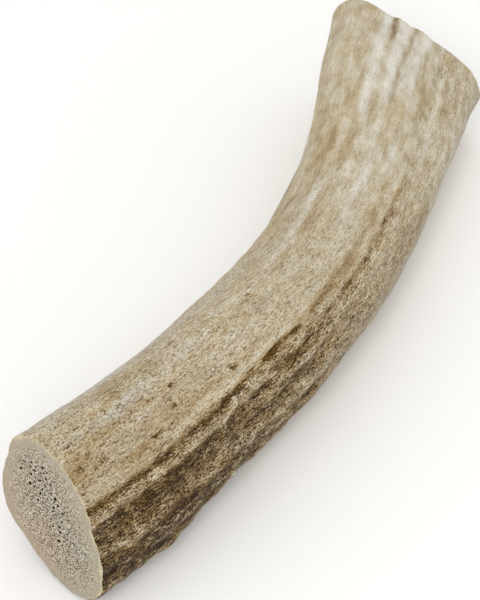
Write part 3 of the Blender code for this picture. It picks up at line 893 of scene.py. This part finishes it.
def ring_rows(rings):
    """Share of the length and inset under the bark of every ring, from one sawn face to the other."""
    ease = RIM_EASE / beam_length()
    quarter = np.radians(np.linspace(0, 90, RIM_STEPS + 1))
    end_shares = np.concatenate([np.zeros(len(FACE_INSETS)), ease * (1 - np.cos(quarter))])
    end_insets = np.concatenate([FACE_INSETS[::-1], RIM_EASE * (1 - np.sin(quarter))])
    middle = np.linspace(ease, 1 - ease, rings + 1)[1:-1]
    shares = np.concatenate([end_shares, middle, 1 - end_shares[::-1]])
    insets = np.concatenate([end_insets, np.zeros(len(middle)), end_insets[::-1]])
    return shares, insets


def bark_radius(share, angle, settings):
    radius = section_radius(share, angle) + solid_relief(share, angle) + fine_relief(share, angle, settings)
    return radius - crack_field(share, turn_between(angle, 0)) - STAIN_DEPTH * stain_field(share, angle)


def new_layers(bm):
    """What every point remembers: its share of the length, angle, inset under the bark, depth in a
    pore, which pore it belongs to, and whether it has been put in its place."""
    floats = ("share", "angle", "inset", "pit")
    counts = ("pore", "placed")
    for name in floats:
        bm.verts.layers.float.new(name)
    for name in counts:
        bm.verts.layers.int.new(name)
    layers = {name: bm.verts.layers.float[name] for name in floats}
    layers.update({name: bm.verts.layers.int[name] for name in counts})
    return layers


def fresh_verts(bm, layers):
    return [v for v in bm.verts if not v[layers["placed"]]]


def place_verts(verts, layers, points, **values):
    """Writes the points' places and what they remember about them."""
    for row, vert in enumerate(verts):
        vert.co = points[row]
        vert[layers["placed"]] = 1
        for name, value in values.items():
            vert[layers[name]] = value[row]


def make_wall(bm, layers, settings):
    """The bark, the worn rims and the outer rings of the sawn faces: a tube open at both ends."""
    shares, insets = ring_rows(settings.rings)
    bmesh.ops.create_cone(bm, segments=settings.sides, radius1=1, radius2=1, depth=1)
    verts = fresh_verts(bm, layers)
    upright = {e for v in verts for e in v.link_edges if abs(e.verts[0].co.z - e.verts[1].co.z) > 0.5}
    bmesh.ops.subdivide_edges(bm, edges=list(upright), cuts=len(shares) - 2)
    verts = fresh_verts(bm, layers)
    start = np.array([v.co for v in verts])
    ring = np.rint((start[:, 2] + 0.5) * (len(shares) - 1)).astype(int)
    angle = np.degrees(np.arctan2(-start[:, 1], start[:, 0]))
    share = shares[ring]
    inset = insets[ring]
    points = around(share, angle, bark_radius(share, angle, settings) - inset)
    place_verts(verts, layers, points, share=share, angle=angle, inset=inset)


def pore_places(field, angles, radii):
    """Across, up and radius of each pore in a sawn face, in millimetres, none touching another."""
    rng = np.random.default_rng(field["seed"])
    start, end = np.array(field["line"])
    side = np.array([start[1] - end[1], end[0] - start[0]]) / np.linalg.norm(end - start)
    pores = np.zeros((0, 3))
    kinds = (("coarse", COARSE_PORE, 0.0, 1.0), ("fine", FINE_PORE, FINE_BEYOND, FINE_SPREAD))
    for kind, sizes, beyond, wider in kinds:
        wanted = len(pores) + field[kind]
        for _ in range(PORE_TRIES * field[kind]):
            if len(pores) == wanted:
                break
            middle = start + (end - start) * rng.uniform(-beyond, 1 + beyond)
            middle = middle + side * rng.normal(0, field["spread"] * wider)
            radius = rng.uniform(*sizes)
            reach = np.interp(math.degrees(math.atan2(middle[1], middle[0])), angles, radii, period=360)
            room = radius * PORE_REACH + PORE_GAP
            inside = reach - np.hypot(*middle) - room
            gaps = np.hypot(pores[:, 0] - middle[0], pores[:, 1] - middle[1]) - pores[:, 2] * PORE_REACH
            if inside > rng.uniform(0, PORE_THINNING) and (gaps > room).all():
                pores = np.vstack([pores, [*middle, radius]])
    return pores


def make_sawn_face(bm, layers, field, settings):
    """The inner part of a sawn face: flat bone with a pit for each pore."""
    shape = np.random.default_rng(field["seed"] + SHAPE_SEED)
    rim = bmesh.ops.create_circle(bm, segments=settings.sides, radius=1)["verts"]
    start = np.array([v.co for v in rim])
    angles = np.degrees(np.arctan2(start[:, 1], start[:, 0]))
    share = np.full(len(rim), field["share"])
    radii = bark_radius(share, angles, settings) - FACE_INSETS[-1]
    for vert, radius in zip(rim, radii):
        vert.co *= radius
    pores = pore_places(field, angles, radii)
    depths = settings.pore_depth / MM * (SHALLOWEST + (1 - SHALLOWEST) * pores[:, 2] / COARSE_PORE[1])
    depths *= shape.uniform(*PIT_DEPTHS, len(pores))
    for number, (across, up, radius) in enumerate(pores):
        stretch = shape.uniform(*PORE_STRETCH)
        turn = math.radians(PORE_TURN) + shape.normal(0, PORE_TURN_SPREAD)
        place = Matrix.Translation((across, up, 0)) @ Matrix.Rotation(turn, 4, "Z")
        place @= Matrix.Diagonal((stretch**0.5, stretch**-0.5, 1, 1))
        corners = COARSE_CORNERS if radius > FINE_PORE[1] else FINE_CORNERS
        edge = bmesh.ops.create_circle(bm, segments=corners, radius=radius, matrix=place)["verts"]
        for vert in edge:
            vert.co = Vector((across, up, 0)).lerp(vert.co, shape.uniform(*PORE_RAGGED))
            vert[layers["pore"]] = number + 1
    edges = {e for v in fresh_verts(bm, layers) for e in v.link_edges}
    bmesh.ops.triangle_fill(bm, use_beauty=True, edges=list(edges), normal=(0, 0, 1))

    # Each pit narrows halfway down, and its lowest ring of points is drawn together to one.
    edges = [e for e in edges if e.verts[0][layers["pore"]]]
    for narrowing, share_of_depth in PIT_RINGS:
        grown = bmesh.ops.extrude_edge_only(bm, edges=edges)["geom"]
        ring = {g for g in grown if isinstance(g, bmesh.types.BMVert)}
        for vert in ring:
            number = vert[layers["pore"]] - 1
            middle = Vector((pores[number, 0], pores[number, 1], 0))
            vert.co = middle.lerp(Vector((vert.co.x, vert.co.y, 0)), narrowing)
            vert.co.z = depths[number] * share_of_depth
            vert[layers["pit"]] = share_of_depth
        edges = [g for g in grown if isinstance(g, bmesh.types.BMEdge) and ring.issuperset(g.verts)]
    bmesh.ops.collapse(bm, edges=edges, uvs=False)

    verts = fresh_verts(bm, layers)
    flat = np.array([v.co for v in verts])
    share = np.full(len(verts), field["share"])
    angle = np.degrees(np.arctan2(flat[:, 1], flat[:, 0]))
    reach = np.interp(angle, angles, radii, period=360) + FACE_INSETS[-1]
    inset = reach - np.hypot(flat[:, 0], flat[:, 1])
    outward, upward = section_axes(share)
    inward = np.cross(outward, upward) * (1 if field["share"] else -1)
    points = placed(share, flat[:, 0], flat[:, 1]) + flat[:, 2:] * inward
    place_verts(verts, layers, points, share=share, angle=angle, inset=inset)


def stained_side(share, angle):
    """How much of the rough side's stain a point has, from 0 to 1."""
    side = turn_between(angle, 0)
    edge = np.interp(share, *np.transpose(ROUGH_EDGE))
    upper = smooth_step((edge - side) / ROUGH_SOFTNESS)
    lower = smooth_step((side - ROUGH_LOWER_EDGE) / ROUGH_FADE)
    return upper * lower


def columns(rows, *wanted):
    """Rows cut down to some of their columns."""
    return [[row[i] for i in wanted] for row in rows]


def bark_fields(share, angle, settings):
    """How light the bark is, how strong its colour and its grain are, and how thick its dark stain is."""
    points = straightened(share, angle)
    wandered = wandering(share, angle)
    reach, cell = ROUGH_EDGE_WANDER
    stained = stained_side(share, wandered + reach * noise_at(points + STAIN_OFFSET, cell, 3))
    side = turn_between(wandered, 0)
    rough = smooth_step((ROUGH_FROM - side) / ROUGH_FROM_FADE)
    rough = rough * smooth_step((side - ROUGH_LOWER_EDGE) / ROUGH_FADE)
    mottling = np.interp(share, *np.transpose(MOTTLING))
    mottled = smooth_step((ROUGH_MOTTLES_END - share) / ROUGH_MOTTLES_FADE)
    mottling += ROUGH_MOTTLING * rough * mottled
    tone = np.interp(share, *np.transpose(BARK_TONE)) + mottling * noise_at(points, MOTTLE_CELL, 2)
    tone -= stained * np.interp(share, *np.transpose(ROUGH_STAIN))
    tone += PEARL_TONE * stained * (pearling(share, angle) - PEARL_HEIGHT / 2)
    tone += FINE_TONE * fine_relief(share, angle, settings)
    tone -= CRACK_TONE * crack_field(share, turn_between(angle, 0))
    tone += line_field(columns(TONE_LINES, 0, 2, 3), share, wandered)
    tone += patch_field(columns(TONE_PATCHES, 0, 1, 2, 4, 5), share, wandered)
    tint = line_field(columns(TONE_LINES, 1, 2, 3), share, wandered)
    tint += patch_field(columns(TONE_PATCHES, 0, 1, 3, 4, 5), share, wandered)
    grain = np.interp(share, *np.transpose(GRAIN_STRENGTH)) * (1 + ROUGH_GRAIN * rough)
    stain = stain_field(share, angle) + STAIN_EVERYWHERE * roughness_of(share, angle)
    return {"tone": tone, "tint": tint, "grain": grain, "stain": stain}


def write_attributes(mesh, share, angle, inset, pit, settings):
    """What the materials read off the surface."""
    fields = bark_fields(share, angle, settings)
    fields.update({"below_bark": inset, "in_pore": pit})
    for name, values in fields.items():
        mesh.attributes.new(name, "FLOAT", "POINT").data.foreach_set("value", values.astype(np.float32))
    place = mesh.attributes.new("straightened", "FLOAT_VECTOR", "POINT")
    place.data.foreach_set("vector", straightened(share, angle).astype(np.float32).ravel())


def antler_mesh(settings):
    """The whole beam as one closed mesh, where the frame's solid lies."""
    bm = bmesh.new()
    layers = new_layers(bm)
    for field in PORE_FIELDS:
        make_sawn_face(bm, layers, field, settings)
    make_wall(bm, layers, settings)
    shift = Vector(solid_shift())
    for vert in bm.verts:
        vert.co = (vert.co + shift) * MM
    seam = [v for v in bm.verts if v.is_boundary]
    bmesh.ops.remove_doubles(bm, verts=seam, dist=WELD)
    if any(not e.is_manifold for e in bm.edges):
        raise RuntimeError("the beam's mesh is not closed")
    bmesh.ops.recalc_face_normals(bm, faces=bm.faces[:])
    if bm.calc_volume(signed=True) < 0:
        bmesh.ops.reverse_faces(bm, faces=bm.faces[:])
    for face in bm.faces:
        face.material_index = int(any(v[layers["inset"]] > BARK_REACH for v in face.verts))
    names = ("share", "angle", "inset", "pit")
    remembered = [np.array([v[layers[name]] for v in bm.verts]) for name in names]
    mesh = bpy.data.meshes.new(PIECE)
    bm.to_mesh(mesh)
    bm.free()
    for name in layers:
        mesh.attributes.remove(mesh.attributes[name])
    write_attributes(mesh, *remembered, settings)
    mesh.shade_smooth()
    mesh.set_sharp_from_angle(angle=math.radians(SHARP_ABOVE))
    return mesh


def add_node(tree, kind, inputs=(), stops=(), **settings):
    """Adds a node, sets it up, gives its sockets values or links, and a colour ramp its stops."""
    made = tree.nodes.new(kind)
    for name, value in settings.items():
        setattr(made, name, value)
    for name, value in dict(inputs).items():
        if isinstance(value, bpy.types.NodeSocket):
            tree.links.new(value, made.inputs[name])
        else:
            made.inputs[name].default_value = value
    for number, (position, colour) in enumerate(stops):
        elements = made.color_ramp.elements
        element = elements[number] if number < len(elements) else elements.new(1.0)
        element.position = position
        element.color = colour
    return made


def weighted_sum(tree, start, *terms):
    """A value with any number of others added, each times its own weight."""
    for value, weight in terms:
        inputs = {0: value, 1: weight, 2: start}
        start = add_node(tree, "ShaderNodeMath", inputs, operation="MULTIPLY_ADD").outputs[0]
    return start


def grain_noise(tree, place, width, length, octaves, offset):
    """Noise about 0, between about -0.5 and 0.5, whose cells have that width and length in the units
    of the place. The offset keeps one noise from following another."""
    scale = (1 / width, 1 / width, 1 / length)
    inputs = {"Vector": place, "Location": (offset,) * 3, "Scale": scale}
    moved = add_node(tree, "ShaderNodeMapping", inputs)
    inputs = {"Vector": moved.outputs[0], "Scale": 1.0, "Detail": octaves, "Roughness": 0.6}
    pattern = add_node(tree, "ShaderNodeTexNoise", inputs)
    return weighted_sum(tree, -0.5, (pattern.outputs["Fac"], 1.0))


def finish_surface(tree, colour, height, distance):
    """Gives the material's shader its colour and its bump."""
    shader = tree.nodes["Principled BSDF"]
    bump = add_node(tree, "ShaderNodeBump", {"Height": height, "Strength": 0.6, "Distance": distance})
    tree.links.new(colour, shader.inputs["Base Color"])
    tree.links.new(bump.outputs["Normal"], shader.inputs["Normal"])


def new_material(name, roughness):
    material = bpy.data.materials.new(name)
    material.use_nodes = True
    shader = material.node_tree.nodes["Principled BSDF"]
    shader.inputs["Roughness"].default_value = roughness
    shader.inputs["IOR"].default_value = BONE_IOR
    shader.inputs["Specular IOR Level"].default_value = DUSTY_GLOSS
    return material


def bark_material(settings):
    """Weathered antler bark: hard tan bone with brown blood and soil stain left in its hollows. It gives
    the eye a dull polish, long stained streaks, and fine dark and light grain along the beam, with a band
    of painted light on the upper left edge and a painted reflection low on the flared half."""
    material = new_material("weathered_antler_bark", 0.58)
    tree = material.node_tree
    read = {
        name: add_node(tree, "ShaderNodeAttribute", attribute_name=name).outputs
        for name in ("straightened", "tone", "tint", "grain", "stain")
    }
    place = read["straightened"]["Vector"]
    width = settings.grain_width / MM

    # Each noise has its width and length in millimetres, its octaves, and an offset of its own.
    broad = grain_noise(tree, place, 5.0, 26.0, 2, 0.0)
    streaks = grain_noise(tree, place, 1.3, 16.0, 3, 7.0)
    threads = grain_noise(tree, place, 0.6, 6.0, 2, 21.0)
    dashes = grain_noise(tree, place, 0.38, 2.4, 2, 27.0)
    mottles = grain_noise(tree, place, 2.0, 4.4, 3, 3.0)
    fibres = grain_noise(tree, place, width, width * 4.5, 3, 5.0)
    grain = grain_noise(tree, place, width, width * 1.3, 2, 9.0)
    blots = grain_noise(tree, place, 0.8, 1.9, 3, 13.0)
    dots = grain_noise(tree, place, 0.42, 0.56, 1, 17.0)
    warmth = grain_noise(tree, place, 2.8, 14.0, 3, 31.0)

    # Dark pinholes and dashes lie loosely crowded in the light bark.
    inputs = {"Value": weighted_sum(tree, dots, (mottles, 0.5)), "From Min": 0.08, "From Max": 0.22}
    pinholes = add_node(tree, "ShaderNodeMapRange", inputs).outputs[0]
    inputs = {"Value": weighted_sum(tree, dashes, (mottles, 0.5)), "From Min": 0.08, "From Max": 0.24}
    slits = add_node(tree, "ShaderNodeMapRange", inputs).outputs[0]
    fine = weighted_sum(tree, 0.04, (grain, 0.64), (fibres, 0.60), (slits, -0.15))
    squared = add_node(tree, "ShaderNodeMath", {0: fine, 1: fine}, operation="MULTIPLY").outputs[0]
    fine = weighted_sum(tree, fine, (squared, -1.8))
    clean = weighted_sum(
        tree, read["tone"]["Fac"], (broad, 0.16), (streaks, 0.10), (threads, 0.10), (mottles, 0.20)
    )

    # Where the stain is thick most of it runs together, and where it is thin only flecks are left.
    thick = weighted_sum(tree, read["stain"]["Fac"], (blots, 1.1), (dots, 1.0), (mottles, 0.4))
    inputs = {"Value": thick, "From Min": 0.42, "From Max": 0.80, "To Max": 0.86}
    blotted = add_node(tree, "ShaderNodeMapRange", inputs).outputs[0]
    tone = add_node(tree, "ShaderNodeMix", {0: blotted, 2: clean, 3: STAIN_TONE}).outputs[0]
    tone = weighted_sum(tree, tone, (fine, read["grain"]["Fac"]))
    stops = (
        (0.12, settings.black_stain),
        (0.27, settings.dark_stain),
        (0.40, settings.brown),
        (0.52, settings.tan),
        (0.62, settings.beige),
        (0.71, settings.bleached),
        (0.84, settings.white),
    )
    colour = add_node(tree, "ShaderNodeValToRGB", {"Fac": tone}, stops).outputs[0]
    tint = weighted_sum(tree, read["tint"]["Fac"], (warmth, 0.6))
    inputs = {
        "Color": colour,
        "Saturation": weighted_sum(tree, 1.0, (tint, 1.0)),
        "Hue": weighted_sum(tree, 0.5, (tint, -0.02)),
    }
    colour = add_node(tree, "ShaderNodeHueSaturation", inputs).outputs[0]
    inputs = {0: pinholes, 1: read["grain"]["Fac"]}
    specks = add_node(tree, "ShaderNodeMath", inputs, operation="MULTIPLY").outputs[0]
    inputs = {0: weighted_sum(tree, 0.0, (specks, SPECK_STRENGTH)), 6: colour, 7: settings.speck}
    colour = add_node(tree, "ShaderNodeMix", inputs, data_type="RGBA").outputs[2]
    height = weighted_sum(tree, fine, (blotted, -0.35))
    finish_surface(tree, colour, height, 0.3 * MM)
    return material


def sawn_material(settings):
    """Antler bone cut across by a fine saw: dense near the rim and spongy in the core. It gives the eye a
    matte grey beige face with pinpricks, pits darkened with painted shade, and a warmer worn edge."""
    material = new_material("sawn_antler_bone", 0.62)
    tree = material.node_tree
    place = add_node(tree, "ShaderNodeTexCoord").outputs["Object"]
    inputs = {"Vector": place, "Rotation": (math.radians(-SPONGE_TURN), 0.0, 0.0)}
    place = add_node(tree, "ShaderNodeMapping", inputs).outputs[0]
    below = add_node(tree, "ShaderNodeAttribute", attribute_name="below_bark").outputs["Fac"]
    pit = add_node(tree, "ShaderNodeAttribute", attribute_name="in_pore").outputs["Fac"]
    tint = add_node(tree, "ShaderNodeAttribute", attribute_name="tint").outputs["Fac"]
    grain = grain_noise(tree, place, 0.30 * MM, 0.46 * MM, 2, 0.0)
    lumps = grain_noise(tree, place, 0.7 * MM, 1.1 * MM, 2, 6.0)
    broad = grain_noise(tree, place, 7.0 * MM, 7.0 * MM, 1, 12.0)
    clouds = grain_noise(tree, place, 2.6 * MM, 2.6 * MM, 2, 4.0)
    inputs = {"Vector": place, "Scale": 1 / (0.62 * MM)}
    cells = add_node(tree, "ShaderNodeTexVoronoi", inputs, feature="F1")

    # The core is a ragged field a few millimetres under the bark.
    ragged = weighted_sum(tree, below, (clouds, 4.0))
    inputs = {"Value": ragged, "From Min": 1.0, "From Max": 9.0}
    core = add_node(tree, "ShaderNodeMapRange", inputs).outputs[0]
    inputs = {"Value": cells.outputs["Distance"], "From Min": 0.38, "From Max": 0.2}
    pinprick = add_node(tree, "ShaderNodeMapRange", inputs).outputs[0]
    spongy = weighted_sum(tree, 0.0, (grain, 1.45), (lumps, 0.55), (pinprick, -0.34))
    # Painted shade: the pits' walls and bottoms are darkened towards the pore colour for the shadow in
    # them.
    pit_shade_painted = add_node(tree, "ShaderNodeMapRange", {"Value": pit, "From Max": 0.3}).outputs[0]
    light = weighted_sum(
        tree, 0.61, (grain, 0.34), (spongy, core), (core, 0.01), (clouds, 0.10), (pit_shade_painted, -0.9)
    )
    stops = (
        (0.12, settings.pore),
        (0.42, settings.shaded),
        (0.59, settings.compact),
        (0.75, settings.sawdust),
    )
    face = add_node(tree, "ShaderNodeValToRGB", {"Fac": light}, stops).outputs[0]
    worn = weighted_sum(tree, below, (clouds, 3.4), (lumps, 2.0), (tint, 5.0))
    inputs = {"Value": worn, "From Min": 1.25, "From Max": 0.35}
    edge = add_node(tree, "ShaderNodeMapRange", inputs).outputs[0]
    inputs = {0: edge, 6: face, 7: settings.rim}
    colour = add_node(tree, "ShaderNodeMix", inputs, data_type="RGBA").outputs[2]
    tint = weighted_sum(tree, tint, (broad, 0.7))
    inputs = {
        "Color": colour,
        "Saturation": weighted_sum(tree, 1.0, (tint, 0.4)),
        "Hue": weighted_sum(tree, 0.5, (tint, -0.04)),
    }
    colour = add_node(tree, "ShaderNodeHueSaturation", inputs).outputs[0]
    finish_surface(tree, colour, weighted_sum(tree, grain, (pinprick, -0.5)), 0.12 * MM)
    return material


def add_object(name, data, *materials):
    made = bpy.data.objects.new(name, data)
    for material in materials:
        data.materials.append(material)
    bpy.context.scene.collection.objects.link(made)
    return made


class ANTLER_OT_beam(bpy.types.Operator):
    """Make the sawn antler beam"""

    bl_idname = "antler.beam"
    bl_label = "Antler Beam"

    def execute(self, context):
        settings = context.scene.antler_settings
        beam = add_object(PIECE, antler_mesh(settings), bark_material(settings), sawn_material(settings))
        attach(beam, "root")
        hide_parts(NODE)
        return {"FINISHED"}


class ANTLER_OT_stage(bpy.types.Operator):
    """Make the floor, the lights and the camera"""

    bl_idname = "antler.stage"
    bl_label = "Stage"

    def execute(self, context):
        settings = context.scene.antler_stage
        make_floor(settings)
        make_lights(settings)
        make_camera(settings)
        context.scene.view_settings.view_transform = "Standard"
        return {"FINISHED"}


def make_floor(settings):
    bm = bmesh.new()
    bmesh.ops.create_circle(bm, cap_ends=True, segments=64, radius=settings.floor_radius)
    mesh = bpy.data.meshes.new("floor")
    bm.to_mesh(mesh)
    bm.free()
    material = bpy.data.materials.new("matte_paper_sweep")
    material.use_nodes = True
    shader = material.node_tree.nodes["Principled BSDF"]
    shader.inputs["Base Color"].default_value = settings.floor_colour
    shader.inputs["Roughness"].default_value = 0.9
    add_object("floor", mesh, material)


def back_from(azimuth, elevation):
    """The direction from the object to a viewer there. Azimuth 0 is at -Y, and 90 degrees at +X."""
    flat = math.cos(elevation)
    return Vector((math.sin(azimuth) * flat, -math.cos(azimuth) * flat, math.sin(elevation)))


def make_lights(settings):
    world = bpy.data.worlds.new("soft_surround")
    world.use_nodes = True
    background = world.node_tree.nodes["Background"]
    background.inputs["Color"].default_value = (1.0, 1.0, 1.0, 1.0)
    background.inputs["Strength"].default_value = settings.surround
    bpy.context.scene.world = world
    lamp = bpy.data.lights.new("key", "AREA")
    lamp.size = settings.key_size
    lamp.energy = settings.key_power
    back = back_from(settings.key_azimuth, settings.key_elevation)
    key = add_object("key", lamp)
    key.location = back * settings.key_distance
    key.rotation_euler = back.to_track_quat("Z", "Y").to_euler()


def make_camera(settings):
    target = Vector(CAMERA_TARGET) * MM
    back = back_from(settings.azimuth, settings.elevation)
    camera = add_object("camera", bpy.data.cameras.new("camera"))
    camera.data.lens = settings.lens
    camera.data.clip_start = 0.01
    camera.location = target + back * settings.distance
    camera.rotation_euler = back.to_track_quat("Z", "Y").to_euler()
    bpy.context.scene.camera = camera


class ANTLER_PT_panel(bpy.types.Panel):
    """Lists the steps and what they can be given"""

    bl_idname = "ANTLER_PT_panel"
    bl_label = "Antler"
    bl_space_type = "VIEW_3D"
    bl_region_type = "UI"
    bl_category = "Antler"

    def draw(self, context):
        for operator, settings in (
            (ANTLER_OT_beam, context.scene.antler_settings),
            (ANTLER_OT_stage, context.scene.antler_stage),
        ):
            box = self.layout.box()
            box.operator(operator.bl_idname)
            for name in settings.bl_rna.properties.keys():
                if name not in ("rna_type", "name"):
                    box.prop(settings, name)


CLASSES = (AntlerSettings, StageSettings, ANTLER_OT_beam, ANTLER_OT_stage, ANTLER_PT_panel)


def register():
    for cls in CLASSES:
        bpy.utils.register_class(cls)
    bpy.types.Scene.antler_settings = PointerProperty(type=AntlerSettings)
    bpy.types.Scene.antler_stage = PointerProperty(type=StageSettings)


def unregister():
    del bpy.types.Scene.antler_stage
    del bpy.types.Scene.antler_settings
    for cls in reversed(CLASSES):
        bpy.utils.unregister_class(cls)


def main():
    register()
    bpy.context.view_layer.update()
    bpy.ops.antler.beam()
    bpy.ops.antler.stage()


if __name__ == "__main__":
    main()
